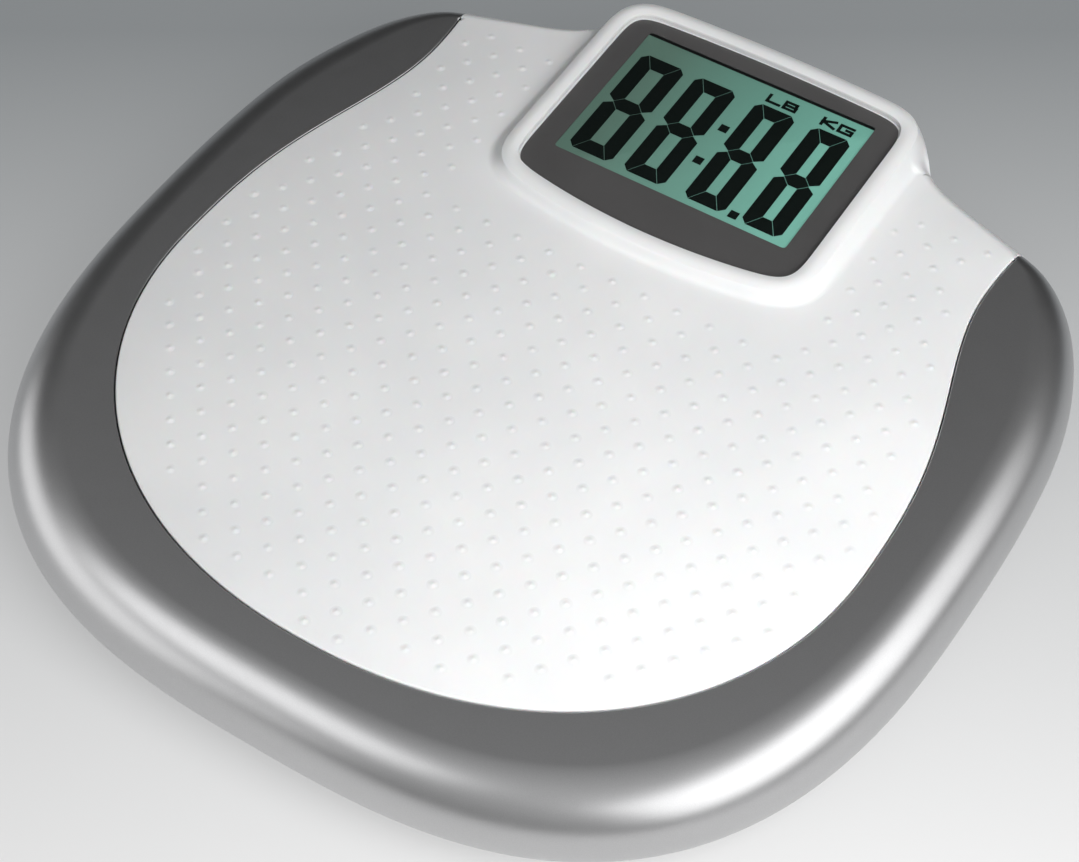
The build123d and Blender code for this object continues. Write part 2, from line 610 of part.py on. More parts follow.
def main():
    os.makedirs("parts", exist_ok=True)
    outer, inner = body_form(0), body_form(WALL)
    write("upper_shell", shell(outer, inner))
    write("deck", deck(outer, inner))
    write("base_tray", base(outer, inner))
    for node, build in SINGLE_PIECES.items():
        write(node, build())
    for end, y in FOOT_Y.items():
        write(f"cross_rail_{end}", cross_rail(y))
    for end, side in CORNERS:
        for node, build in CORNER_PIECES.items():
            write(f"{node}_{end}_{side}", build(foot_x(side), FOOT_Y[end]))
        write(f"cell_lead_{end}_{side}", cell_lead(end, side))
    for place in range(4):
        write(f"battery_{place + 1}", battery(place))


SINGLE_PIECES = {
    "window": window,
    "window_mask": window_mask,
    "display_glass": glass,
    "light_guide": light_guide,
    "lamp_bar": led_bar,
    "glass_frame": glass_frame,
    "contact_strips": contact_strips,
    "main_board": board,
    "chip_cover": chip_cover,
    "board_parts": board_parts,
    "lead_headers": lead_headers,
    "frame_screws": frame_screws,
    "battery_door": battery_door,
    "contact_springs": contact_springs,
    "contact_plates": contact_plates,
    "unit_button": unit_button,
    "switch_plunger": switch_plunger,
    "switch_body": switch_body,
    "switch_board": switch_board,
    "switch_screws": switch_screws,
    "base_screws": base_screws,
    "rail_screws": rail_screws,
    "battery_lead": battery_lead,
    "switch_lead": switch_lead,
}
CORNER_PIECES = {
    "cell_holder": cell_holder,
    "load_cell": load_cell,
    "strain_gauge": strain_gauge,
    "foot": foot,
    "foot_pad": foot_pad,
}


main()
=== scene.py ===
import math

import bmesh
import bpy
import numpy as np
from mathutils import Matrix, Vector
from mathutils.geometry import delaunay_2d_cdt


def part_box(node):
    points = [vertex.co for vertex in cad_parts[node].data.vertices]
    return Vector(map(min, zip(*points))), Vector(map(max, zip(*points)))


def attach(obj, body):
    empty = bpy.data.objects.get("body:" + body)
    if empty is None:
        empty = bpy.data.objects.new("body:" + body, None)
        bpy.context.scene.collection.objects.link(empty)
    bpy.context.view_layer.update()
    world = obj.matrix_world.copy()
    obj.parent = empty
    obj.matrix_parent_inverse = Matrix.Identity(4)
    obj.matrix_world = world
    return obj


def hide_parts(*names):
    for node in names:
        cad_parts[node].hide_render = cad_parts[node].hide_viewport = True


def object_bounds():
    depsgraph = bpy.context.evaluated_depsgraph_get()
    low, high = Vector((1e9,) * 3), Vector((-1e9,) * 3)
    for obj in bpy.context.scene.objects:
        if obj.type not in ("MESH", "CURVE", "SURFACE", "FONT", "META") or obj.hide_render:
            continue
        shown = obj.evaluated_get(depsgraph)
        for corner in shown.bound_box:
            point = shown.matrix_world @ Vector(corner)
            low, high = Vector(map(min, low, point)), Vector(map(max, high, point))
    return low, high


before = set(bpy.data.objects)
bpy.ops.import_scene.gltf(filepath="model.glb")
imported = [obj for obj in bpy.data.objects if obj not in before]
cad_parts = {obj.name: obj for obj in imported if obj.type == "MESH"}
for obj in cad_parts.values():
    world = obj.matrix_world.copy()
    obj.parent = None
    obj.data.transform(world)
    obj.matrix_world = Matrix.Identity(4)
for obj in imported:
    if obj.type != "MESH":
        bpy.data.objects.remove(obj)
cad_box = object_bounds()

MM = 0.001  # the formulas below are in millimetres, and every mesh is in metres
ROOT = "scale_body"
CORNERS = [f"{end}_{side}" for end in ("front", "rear") for side in ("left", "right")]


# ---------------------------------------------------------------- base tray
# The bottom cover, injection moulded in mid-grey ABS with a fine spark-eroded grain.
# It clips up inside the silver shell and is held by five screws from below.

def new_material(name, colour, roughness, metallic=0.0):
    """A principled material, with the node tree and the shader handed back."""
    material = bpy.data.materials.new(name)
    material.use_nodes = True
    shader = material.node_tree.nodes["Principled BSDF"]
    shader.inputs["Base Color"].default_value = (*colour, 1.0)
    shader.inputs["Roughness"].default_value = roughness
    shader.inputs["Metallic"].default_value = metallic
    return material, material.node_tree, shader


def noise(tree, size_mm, detail=3.0):
    """Noise with features about that many millimetres across, fixed to the piece."""
    place = tree.nodes.new("ShaderNodeTexCoord")
    texture = tree.nodes.new("ShaderNodeTexNoise")
    texture.inputs["Scale"].default_value = 1.0 / (size_mm * MM)
    texture.inputs["Detail"].default_value = detail
    tree.links.new(place.outputs["Object"], texture.inputs["Vector"])
    return texture.outputs["Fac"]


def tint(tree, shader, factor, dark, light, low=0.35, high=0.65):
    """Base colour that drifts between two tints."""
    ramp = tree.nodes.new("ShaderNodeValToRGB")
    ramp.color_ramp.elements[0].position = low
    ramp.color_ramp.elements[0].color = (*dark, 1.0)
    ramp.color_ramp.elements[1].position = high
    ramp.color_ramp.elements[1].color = (*light, 1.0)
    tree.links.new(factor, ramp.inputs["Fac"])
    tree.links.new(ramp.outputs["Color"], shader.inputs["Base Color"])
    return ramp


def spread(tree, factor, socket, low, high):
    """Maps noise onto a range of values on a shader's socket."""
    span = tree.nodes.new("ShaderNodeMapRange")
    span.inputs["To Min"].default_value = low
    span.inputs["To Max"].default_value = high
    tree.links.new(factor, span.inputs["Value"])
    tree.links.new(span.outputs["Result"], socket)


def relief(tree, shader, height, depth_mm, strength=1.0):
    """Fine surface relief of that depth."""
    bump = tree.nodes.new("ShaderNodeBump")
    bump.inputs["Strength"].default_value = strength
    bump.inputs["Distance"].default_value = depth_mm * MM
    tree.links.new(height, bump.inputs["Height"])
    tree.links.new(bump.outputs["Normal"], shader.inputs["Normal"])
    return bump


def moulded_plastic(name, colour, roughness, grain_mm=0.6, grain_depth=0.02):
    """Moulded plastic with a fine grain, and a slow drift of tone from the mould's flow."""
    material, tree, shader = new_material(name, colour, roughness)
    dark = [c * 0.93 for c in colour]
    light = [min(1.0, c * 1.05) for c in colour]
    tint(tree, shader, noise(tree, 40), dark, light)
    spread(tree, noise(tree, 6), shader.inputs["Roughness"], roughness - 0.05, roughness + 0.07)
    relief(tree, shader, noise(tree, grain_mm), grain_depth)
    return material


def finish(node, material):
    """Gives a CAD piece its material."""
    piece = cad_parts[node]
    piece.data.materials.clear()
    piece.data.materials.append(material)
    return piece


grey_abs = moulded_plastic("grey ABS", (0.16, 0.165, 0.17), 0.55)
finish("base_tray", grey_abs)


# ---------------------------------------------------------------- feet
# Four grey foot cups that slide in the tray's holes, each with a ribbed pad of black rubber.
# Under each stem is the load cell: a punched plate of spring steel with a foil gauge on its tongue.

def rolled_steel(name, colour, roughness, grain=(2.0, 60.0)):
    """Sheet steel with the drawn-out streaks of rolling, and faint stains in its zinc."""
    material, tree, shader = new_material(name, colour, roughness, metallic=1.0)
    place = tree.nodes.new("ShaderNodeTexCoord")
    stretch = tree.nodes.new("ShaderNodeMapping")
    stretch.inputs["Scale"].default_value = (grain[0], grain[1], grain[1])
    streaks = tree.nodes.new("ShaderNodeTexNoise")
    streaks.inputs["Scale"].default_value = 40.0
    tree.links.new(place.outputs["Object"], stretch.inputs["Vector"])
    tree.links.new(stretch.outputs["Vector"], streaks.inputs["Vector"])
    spread(tree, streaks.outputs["Fac"], shader.inputs["Roughness"], roughness - 0.1, roughness + 0.12)
    tint(tree, shader, noise(tree, 9), [c * 0.85 for c in colour], colour)
    relief(tree, shader, streaks.outputs["Fac"], 0.01)
    return material


def rubber(name, colour):
    """Matt rubber with a dusty bloom on its high spots."""
    material, tree, shader = new_material(name, colour, 0.8)
    tint(tree, shader, noise(tree, 3, 5.0), colour, [c * 1.8 + 0.01 for c in colour], 0.45, 0.75)
    relief(tree, shader, noise(tree, 0.35), 0.03)
    shader.inputs["Specular IOR Level"].default_value = 0.3
    return material


foot_plastic = moulded_plastic("foot cup nylon", (0.20, 0.205, 0.21), 0.5)
pad_rubber = rubber("foot pad rubber", (0.022, 0.022, 0.023))
spring_steel = rolled_steel("spring steel", (0.52, 0.52, 0.50), 0.32)
gauge_film = moulded_plastic("gauge film", (0.72, 0.33, 0.06), 0.2, 1.5, 0.02)
natural_nylon = moulded_plastic("natural nylon", (0.74, 0.71, 0.62), 0.45)
lead_sleeve = moulded_plastic("lead sleeve", (0.50, 0.035, 0.03), 0.4, 2.0, 0.01)
for corner in CORNERS:
    finish(f"foot_{corner}", foot_plastic)
    finish(f"foot_pad_{corner}", pad_rubber)
    finish(f"load_cell_{corner}", spring_steel)
    finish(f"strain_gauge_{corner}", gauge_film)
    finish(f"cell_holder_{corner}", natural_nylon)
    finish(f"cell_lead_{corner}", lead_sleeve)


# ---------------------------------------------------------------- rails and screws
# Two hat-section rails, folded from zinc-plated strip, carry the deck across to the load cells.
# Self-tapping screws hold the rails to their bosses and the tray to the shell.

zinc_steel = rolled_steel("zinc-plated steel", (0.60, 0.62, 0.64), 0.38)
screw_steel = rolled_steel("screw steel", (0.42, 0.42, 0.43), 0.3, (30.0, 30.0))
for node in ("cross_rail_front", "cross_rail_rear"):
    finish(node, zinc_steel)
for node in ("rail_screws", "base_screws", "frame_screws", "switch_screws"):
    finish(node, screw_steel)


# ---------------------------------------------------------------- battery bay
# Four AAA cells lie side by side under a snap-in door. Nickel-plated strips and coil springs
# touch their ends, and two sleeved wires take the current up to the board.

def cell_jacket(name):
    """Printed sleeve: dark blue with one copper-coloured end, and no lettering."""
    material, tree, shader = new_material(name, (0.02, 0.06, 0.22), 0.25, metallic=0.3)
    place = tree.nodes.new("ShaderNodeTexCoord")
    axes = tree.nodes.new("ShaderNodeSeparateXYZ")
    tree.links.new(place.outputs["Generated"], axes.inputs["Vector"])
    band = tint(tree, shader, axes.outputs["Y"], (0.02, 0.06, 0.22), (0.62, 0.32, 0.14), 0.69, 0.70)
    band.color_ramp.interpolation = "LINEAR"
    relief(tree, shader, noise(tree, 1.2), 0.01)
    return material


nickel = rolled_steel("nickel strip", (0.70, 0.68, 0.62), 0.22)
jacket = cell_jacket("cell jacket")
for place in range(1, 5):
    finish(f"battery_{place}", jacket)
finish("contact_springs", nickel)
finish("contact_plates", nickel)
finish("battery_lead", lead_sleeve)
finish("battery_door", grey_abs)


# ---------------------------------------------------------------- unit button
# A small grey button under the scale changes the units. It pushes the pin of a click switch,
# which is soldered under its own small board.

def solder_mask(name):
    """Green lacquer over a faint pattern of copper tracks."""
    material, tree, shader = new_material(name, (0.02, 0.14, 0.06), 0.3)
    place = tree.nodes.new("ShaderNodeTexCoord")
    tracks = tree.nodes.new("ShaderNodeTexBrick")
    tracks.inputs["Scale"].default_value = 300.0
    tracks.inputs["Mortar Size"].default_value = 0.03
    tracks.inputs["Color1"].default_value = (0.015, 0.11, 0.045, 1)
    tracks.inputs["Color2"].default_value = (0.02, 0.14, 0.06, 1)
    tracks.inputs["Mortar"].default_value = (0.05, 0.26, 0.12, 1)
    tree.links.new(place.outputs["Object"], tracks.inputs["Vector"])
    tree.links.new(tracks.outputs["Color"], shader.inputs["Base Color"])
    relief(tree, shader, tracks.outputs["Fac"], 0.03)
    return material


black_plastic = moulded_plastic("black plastic", (0.018, 0.018, 0.019), 0.4)
board_green = solder_mask("green board")
finish("unit_button", moulded_plastic("button plastic", (0.52, 0.53, 0.54), 0.4))
finish("switch_plunger", black_plastic)
finish("switch_body", black_plastic)
finish("switch_board", board_green)
finish("switch_lead", lead_sleeve)


# ---------------------------------------------------------------- silver shell
# The upper shell: a ring moulded in ABS and sprayed satin silver, with a bullnose side.
# Its flat top meets the white deck at a fine groove, and its foot meets the base tray.

shell_low, shell_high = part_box("upper_shell")
HALF_WIDTH = shell_high.x / MM
WIDEST_Y = 10.0
FRONT_REACH = WIDEST_Y - shell_low.y / MM  # from the widest place to the front
REAR_REACH = 154.7
SQUARENESS = 2.8  # 2 is an ellipse, more is squarer
BULLNOSE_WIDTH = 18.0  # from the widest line in to the flat top
DECK_Z = shell_high.z / MM
RING_TOP_Z = DECK_Z - 0.4  # the deck stands a little proud
EQUATOR_Z = 23.0
BASE_Z = 9.0
SEAM_Z = shell_low.z / MM
UNDERCUT = 0.55  # how far the ring's foot draws in, as a share of the bullnose
SKIRT_Z = 32.7  # the foot of the deck's rear skirt
SKIRT_LEAN = math.asin((SKIRT_Z - EQUATOR_Z) / (DECK_Z - EQUATOR_Z))
SEAM_GAP = 0.45
ROUND_COUNT = 1200  # stations round the body
SIDE_TURNS = (-90, -85, -79, -72, -64, -56, -47, -38, -29, -20, -11, -3, 7, 16)  # degrees, from the front

# Rear edge, scooped in beside the hood: widest line, then the edge of the flat top above it.
REAR_STATIONS = [
    ((149.0, 93.5), (131.5, 88.4)),
    ((143.0, 106.0), (127.0, 101.2)),
    ((135.0, 117.0), (121.4, 111.4)),
    ((125.5, 124.9), (115.2, 117.8)),
    ((113.0, 129.8), (107.5, 121.0)),
    ((97.0, 134.2), (94.0, 126.0)),
    ((82.5, 139.0), (79.5, 131.2)),
    ((71.5, 144.8), (68.0, 138.4)),
    ((63.5, 152.4), (59.6, 149.2)),
    ((54.0, 158.9), (51.8, 155.6)),
    ((40.0, 161.3), (39.4, 157.9)),
    ((20.0, 161.9), (19.8, 158.7)),
    ((0.0, 162.0), (0.0, 158.9)),
]


def side_station(turn):
    """Widest point and flat-top point on the front and the sides, from the outline's formula."""
    across = math.copysign(abs(math.cos(turn)) ** (2 / SQUARENESS), math.cos(turn))
    along = math.copysign(abs(math.sin(turn)) ** (2 / SQUARENESS), math.sin(turn))
    reach = REAR_REACH if turn > 0 else FRONT_REACH
    outer = (HALF_WIDTH * across, WIDEST_Y + reach * along)
    return outer, ((HALF_WIDTH - BULLNOSE_WIDTH) * across, WIDEST_Y + (reach - BULLNOSE_WIDTH) * along)


def closed_spline(points, knots, at):
    """A smooth closed curve through the points, sampled at values of its knots."""
    count = len(points)
    step = np.diff(knots)
    slope = (np.roll(points, -1, 0) - points) / step[:, None]
    system = np.zeros((count, count))
    right = np.zeros((count, 2))
    for n in range(count):
        before, after = step[n - 1], step[n]
        system[n, n - 1] += after
        system[n, n] += 2 * (before + after)
        system[n, (n + 1) % count] += before
        right[n] = 3 * (after * slope[n - 1] + before * slope[n])
    tangent = np.linalg.solve(system, right)
    n = np.clip(np.searchsorted(knots, at, side="right") - 1, 0, count - 1)
    m = (n + 1) % count
    t = ((at - knots[n]) / step[n])[:, None]
    h = step[n][:, None]
    return ((1 + 2 * t) * (1 - t) ** 2 * points[n] + t * (1 - t) ** 2 * h * tangent[n]
            + t * t * (3 - 2 * t) * points[m] + t * t * (t - 1) * h * tangent[m])


def body_outlines():
    """The widest line and the edge of the flat top: matching closed loops from the front's middle."""
    right = [side_station(math.radians(turn)) for turn in SIDE_TURNS] + REAR_STATIONS
    pairs = right + [((-e[0], e[1]), (-p[0], p[1])) for e, p in reversed(right[1:-1])]
    outer = np.array([p[0] for p in pairs])
    top = np.array([p[1] for p in pairs])
    chords = np.linalg.norm(np.roll(outer, -1, 0) - outer, axis=1)
    knots = np.concatenate([[0], np.cumsum(chords)])
    at = np.linspace(0, knots[-1], ROUND_COUNT, endpoint=False)
    return closed_spline(outer, knots, at), closed_spline(top, knots, at)


WIDEST, FLAT_EDGE = body_outlines()


def on_side(lean, top_z):
    """Points of the bullnose, one per station, at a lean of 90 degrees on top and 0 at the widest line."""
    lean = np.broadcast_to(lean, ROUND_COUNT)
    undercut = np.where(lean > 0, 1.0, UNDERCUT)
    rise = np.where(lean > 0, top_z - EQUATOR_Z, EQUATOR_Z - BASE_Z)
    share = ((1 - np.cos(lean)) * undercut)[:, None]
    plan = WIDEST + (FLAT_EDGE - WIDEST) * share
    return np.column_stack([plan, EQUATOR_Z + rise * np.sin(lean)])


DECK_HALF_WIDTH = 130.2
DECK_FRONT_Y = -133.6
DECK_WIDEST_Y = -18.0
DECK_BOWL = 2.15
NECK_HALF_WIDTH = 110.7
NECK_Y = 100.0
FLARE_Y = 121.0
FLARE = 1.5
LAST_DECK_Y = FLARE_Y + 14.0  # the outline is drawn past the rear edge and cut off there


def deck_half_width(y):
    """The deck's outline: a wide front bowl, a neck beside the hood and a flare at the rear corners."""
    y = np.asarray(y, float)
    drop = np.clip((DECK_WIDEST_Y - y) / (DECK_WIDEST_Y - DECK_FRONT_Y), 0, 1)
    bowl = DECK_HALF_WIDTH * (1 - drop**DECK_BOWL) ** (1 / DECK_BOWL)
    share = np.clip((y - DECK_WIDEST_Y) / (NECK_Y - DECK_WIDEST_Y), 0, 1)
    neck = (DECK_HALF_WIDTH - NECK_HALF_WIDTH) * np.sin(math.pi / 2 * share**1.35) ** 2
    flare = FLARE * (np.clip(y - NECK_Y, 0, None) / (FLARE_Y - NECK_Y)) ** 2
    return np.where(y < DECK_WIDEST_Y, bowl, DECK_HALF_WIDTH - neck + flare)


def deck_edge(grow, last_y):
    """The deck's outline grown by that much, from its right rear tip round the front to its left one."""
    turn = np.linspace(0, math.pi / 2, 150)
    bowl_y = DECK_WIDEST_Y + (DECK_FRONT_Y - DECK_WIDEST_Y) * np.sin(turn)
    y = np.concatenate([np.linspace(LAST_DECK_Y, DECK_WIDEST_Y, 170)[:-1], bowl_y])
    half = np.column_stack([deck_half_width(y), y])
    whole = np.concatenate([half, (half * (-1, 1))[::-1][1:]])
    along = np.gradient(whole, axis=0)
    normal = np.column_stack([-along[:, 1], along[:, 0]])
    whole = whole + grow * normal / np.linalg.norm(normal, axis=1)[:, None]
    return whole[whole[:, 1] < last_y]


def groove_lean(gap):
    """How far down the bullnose the deck's edge crosses each station; 90 degrees is on the flat top."""
    found = np.full(ROUND_COUNT, SKIRT_LEAN)
    open_still = np.ones(ROUND_COUNT, bool)
    for lean in np.linspace(math.pi / 2, SKIRT_LEAN, 240):
        spot = on_side(lean, DECK_Z)
        outside = np.abs(spot[:, 0]) > deck_half_width(spot[:, 1]) + gap
        outside |= spot[:, 1] < DECK_FRONT_Y - gap
        found = np.where(outside & open_still, lean, found)
        open_still &= ~outside
    return found


class Skin:
    """Collects the vertices and faces of one piece, in millimetres."""

    def __init__(self):
        self.points = []
        self.faces = []

    def rows(self, rows, closed=False):
        """A sheet of quads through rows of points."""
        start = len(self.points)
        width = len(rows[0])
        for row in rows:
            self.points.extend(map(tuple, row))
        for n in range(len(rows) - 1):
            for m in range(width if closed else width - 1):
                a, b = start + n * width + m, start + n * width + (m + 1) % width
                self.faces.append((a, b, b + width, a + width))

    def flat(self, outline, z):
        """Triangles that fill an outline at one height."""
        loop = [Vector(p) for p in outline]
        found = delaunay_2d_cdt(loop, [], [list(range(len(loop)))], 1, 1e-6)
        start = len(self.points)
        self.points.extend((p.x, p.y, z) for p in found[0])
        self.faces.extend(tuple(start + n for n in face) for face in found[2])

    def piece(self, name, body, material, slot, wall=0.0, weld=0.01):
        """The finished mesh, welded, smooth-shaded and riding on its body."""
        mesh = bpy.data.meshes.new(name)
        made = bmesh.new()
        points = [made.verts.new(Vector(p) * MM) for p in self.points]
        for face in self.faces:
            try:
                made.faces.new([points[n] for n in face])
            except ValueError:
                continue
        bmesh.ops.remove_doubles(made, verts=made.verts, dist=weld * MM)
        bmesh.ops.dissolve_degenerate(made, edges=made.edges, dist=weld * MM * 0.5)
        bmesh.ops.recalc_face_normals(made, faces=made.faces)
        made.to_mesh(mesh)
        made.free()
        thing = bpy.data.objects.new(name, mesh)
        bpy.context.scene.collection.objects.link(thing)
        mesh.materials.append(material)
        if wall:
            solid = thing.modifiers.new("wall", "SOLIDIFY")
            solid.thickness = wall * MM
            solid.offset = -1
            solid.use_even_offset = True
        mesh.shade_smooth()
        mesh.set_sharp_from_angle(angle=math.radians(28))
        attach(thing, body)
        return thing


def silver_paint(name):
    """Sprayed silver: fine aluminium flake under a satin coat, with a trace of orange peel."""
    material, tree, shader = new_material(name, (0.55, 0.55, 0.555), 0.35, metallic=1.0)
    tint(tree, shader, noise(tree, 0.3, 1.0), (0.53, 0.53, 0.535), (0.57, 0.57, 0.575), 0.3, 0.7)
    spread(tree, noise(tree, 8), shader.inputs["Roughness"], 0.33, 0.37)
    relief(tree, shader, noise(tree, 3.0, 0.0), 0.001)
    return material


def upward(loop, z):
    """A loop lifted to one height."""
    return np.column_stack([loop, np.full(len(loop), z)])


GROOVE_CHAMFER, GROOVE_CHAMFER_DEPTH = 0.3, 0.2


def shell_skin():
    """The ring: its flat top, the fine chamfer at the groove, and the bullnose down to the seam."""
    skin = Skin()
    top_lean = groove_lean(SEAM_GAP)
    on_flat = top_lean > math.pi / 2 - 1e-6
    seam_lean = -math.asin((EQUATOR_Z - SEAM_Z) / (EQUATOR_Z - BASE_Z))
    rows = [on_side(top_lean + (SKIRT_LEAN - top_lean) * n / 22, RING_TOP_Z) for n in range(23)]
    rows += [on_side(SKIRT_LEAN * (1 - n / 10), RING_TOP_Z) for n in range(1, 10)]
    rows += [on_side(-1e-4 + (seam_lean + 1e-4) * n / 10, RING_TOP_Z) for n in range(11)]
    skin.rows(rows, closed=True)
    first_rear = int(np.argmin(on_flat))
    right = FLAT_EDGE[:first_rear]
    left = FLAT_EDGE[ROUND_COUNT - first_rear + 1:]
    tip_y = right[-1][1]
    edge = deck_edge(SEAM_GAP + GROOVE_CHAMFER, tip_y)
    skin.flat(np.concatenate([left, right, edge]), RING_TOP_Z)
    lip = deck_edge(SEAM_GAP, tip_y)
    count = min(len(lip), len(edge))
    skin.rows([upward(edge[:count], RING_TOP_Z), upward(lip[:count], RING_TOP_Z - GROOVE_CHAMFER_DEPTH)])
    return skin


silver = silver_paint("satin silver paint")
shell = shell_skin().piece("silver_shell", ROOT, silver, "silver_paint", wall=2.0)
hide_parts("upper_shell")


# ---------------------------------------------------------------- deck and hood
# The white deck and the display hood are one ABS moulding. The hood has a soft rim round the
# window, sides that run out into the deck, and a rear wall that drops straight to the skirt.

HOOD_TILT = math.radians(2.1)
HOOD_Y = 105.5
WINDOW_HALF_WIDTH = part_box("window")[1].x / MM
WINDOW_FRONT, WINDOW_REAR = 46.2, 47.2  # how far the middles of its front and rear edges reach
HOOD_Z = 46.8  # the window's face at its middle
FRONT_BOW, REAR_BOW = 6.5, 1.8  # how far the window's corners draw back from the middle of each edge
CORNER_SOFTNESS = 6.2
SEAT_WIDTH, SEAT_DEPTH = 4.4, 2.1  # the ledge under the window
FIT_GAP = 0.15
RIM_WIDTH = 6.0
RIM_RISE = 0.7
RIM_START = (0.22, 0.18)  # the eased inner edge of the rim: out from the window, and up
RIM_FALL = 0.35
FOOT_FRONT = 10.0  # how far the hood's foot spreads from the window, in front
FOOT_SIDE = 11.5  # and at its sides
HOOD_CORNER_Y = 137.0
HOOD_COUNT = 480


def window_z(y, lift=0.0):
    """Height of the tilted window's face, plus a lift."""
    return HOOD_Z + (np.asarray(y) - HOOD_Y) * math.tan(HOOD_TILT) + lift


def soft_loop(points, softness, count):
    """A closed polygon with its corners softened, evenly spaced from the middle of its front."""
    points = np.array(points, float)
    closed = np.vstack([points, points[:1]])
    run = np.concatenate([[0], np.cumsum(np.linalg.norm(np.diff(closed, axis=0), axis=1))])
    at = np.linspace(0, run[-1], 2000, endpoint=False)
    fine = np.column_stack([np.interp(at, run, closed[:, k]) for k in (0, 1)])
    waves = np.fft.fftfreq(2000, run[-1] / 2000)
    blur = np.exp(-2 * (math.pi * softness * waves) ** 2)[:, None]
    fine = np.real(np.fft.ifft(np.fft.fft(fine, axis=0) * blur, axis=0))
    closed = np.vstack([fine, fine[:1]])
    run = np.concatenate([[0], np.cumsum(np.linalg.norm(np.diff(closed, axis=0), axis=1))])
    at = np.linspace(0, run[-1], count, endpoint=False)
    return np.column_stack([np.interp(at, run, closed[:, k]) for k in (0, 1)])


def window_loop(count=HOOD_COUNT):
    """The window's outline: a front edge bowed forwards, straight sides and a nearly straight rear edge."""
    across = np.linspace(0, WINDOW_HALF_WIDTH, 30)
    front = HOOD_Y - WINDOW_FRONT + FRONT_BOW * (across / WINDOW_HALF_WIDTH) ** 2
    rear = HOOD_Y + WINDOW_REAR - REAR_BOW * (across / WINDOW_HALF_WIDTH) ** 2
    half = np.concatenate([np.column_stack([across, front]), np.column_stack([across, rear])[::-1]])
    return soft_loop(np.concatenate([half, (half * (-1, 1))[::-1][1:-1]]), CORNER_SOFTNESS, count)


def outwards(loop):
    """Unit normals of a loop that runs anticlockwise."""
    along = np.roll(loop, -1, 0) - np.roll(loop, 1, 0)
    normal = np.column_stack([along[:, 1], -along[:, 0]])
    return normal / np.linalg.norm(normal, axis=1)[:, None]


WINDOW = window_loop()
WINDOW_OUT = outwards(WINDOW)


def rim_rows():
    """The seat under the window, the rim's inner wall and its soft crown."""
    rows = []
    for spread_by, lift in ((-SEAT_WIDTH, -SEAT_DEPTH), (FIT_GAP, -SEAT_DEPTH), (FIT_GAP, 0.0), RIM_START):
        loop = WINDOW + WINDOW_OUT * spread_by
        rows.append(np.column_stack([loop, window_z(loop[:, 1], lift)]))
    out, up = RIM_START
    for share in np.arange(1, 13) / 12:
        loop = WINDOW + WINDOW_OUT * (out + (RIM_WIDTH - out) * share)
        lift = up + (RIM_RISE - up) * math.sin(math.pi * share) - RIM_FALL * share**3
        rows.append(np.column_stack([loop, window_z(loop[:, 1], lift)]))
    return rows


SIDEWAYS = np.abs(WINDOW_OUT[:, 0]) ** 1.5  # 1 where the hood's side faces left or right, 0 in front
DROP_SHARE = 12.5 / 180  # the share of the hood's rear edge that runs down each corner of the deck
DROP_LIE = (0.85, 0.5, 0.0)


def path_at(points, shares):
    """Points at shares of a path's length."""
    run = np.concatenate([[0], np.cumsum(np.linalg.norm(np.diff(points, axis=0), axis=1))])
    return np.column_stack([np.interp(shares * run[-1], run, axis) for axis in points.T])


def hood_foot():
    """The hood's foot, the way its side lies there, and its rear corner's stations on hood and body."""
    foot = WINDOW + WINDOW_OUT * (FOOT_FRONT + (FOOT_SIDE - FOOT_FRONT) * SIDEWAYS)[:, None]
    half = HOOD_COUNT // 2
    to_corner = FLAT_EDGE[:ROUND_COUNT // 2] - (WINDOW_HALF_WIDTH + FOOT_SIDE, HOOD_CORNER_Y)
    station = int(np.argmin(np.hypot(*to_corner.T)))
    on_right = foot[:half, 0] > WINDOW_HALF_WIDTH / 2
    side = int(np.argmin(np.where(on_right, np.abs(foot[:half, 1] - FLAT_EDGE[station][1]), np.inf)))
    leans = np.linspace(math.pi / 2, SKIRT_LEAN, 14)
    down = np.array([on_side(lean, DECK_Z)[station] for lean in leans])
    along = on_side(SKIRT_LEAN, DECK_Z)[station:ROUND_COUNT // 2 + 1]
    rear = np.concatenate([down, along[1:]])
    rear = np.concatenate([rear, (rear * (-1, 1, 1))[::-1][1:]])
    count = HOOD_COUNT - 2 * side + 1
    spots = np.column_stack([foot, np.full(HOOD_COUNT, DECK_Z)])
    lie = np.column_stack([-WINDOW_OUT, np.zeros(HOOD_COUNT)])
    shares = np.linspace(0, 1, count)
    spots[side:side + count] = path_at(rear, shares)
    for n, share in enumerate(shares):
        inward = np.array(DROP_LIE) * (-1 if share < 0.5 else 1, 1, 1)
        lie[side + n] = inward if min(share, 1 - share) < DROP_SHARE else (0, 0, 1)
    kernel = np.exp(-np.linspace(-2, 2, 13) ** 2)
    padded = np.concatenate([lie[-6:], lie, lie[:6]])
    lie = np.column_stack([np.convolve(axis, kernel / kernel.sum(), "valid") for axis in padded.T])
    return spots, lie, side, station


FOOT, FOOT_LIE, HOOD_SIDE, HOOD_STATION = hood_foot()


def hood_side_rows(rim):
    """The hood's side: it leaves the rim steeply and runs out along the deck, tighter at the sides."""
    reach = np.linalg.norm(FOOT - rim, axis=1)[:, None]
    outward = 0.62 - 0.22 * SIDEWAYS
    leave = np.column_stack([WINDOW_OUT * outward[:, None], -np.sqrt(1 - outward**2)])
    first = rim + leave * reach * (0.36 + 0.10 * SIDEWAYS[:, None])
    last = FOOT + FOOT_LIE * reach * (0.46 - 0.20 * SIDEWAYS[:, None])
    rows = []
    for share in np.linspace(0, 1, 17)[1:]:
        a, b, c, d = (1 - share) ** 3, 3 * share * (1 - share) ** 2, 3 * share**2 * (1 - share), share**3
        rows.append(a * rim + b * first + c * last + d * FOOT)
    return rows


DECK_ROUND = 0.6  # radius of the deck's top edge
DECK_LIP = 2.6  # how far the deck's edge goes down into the groove


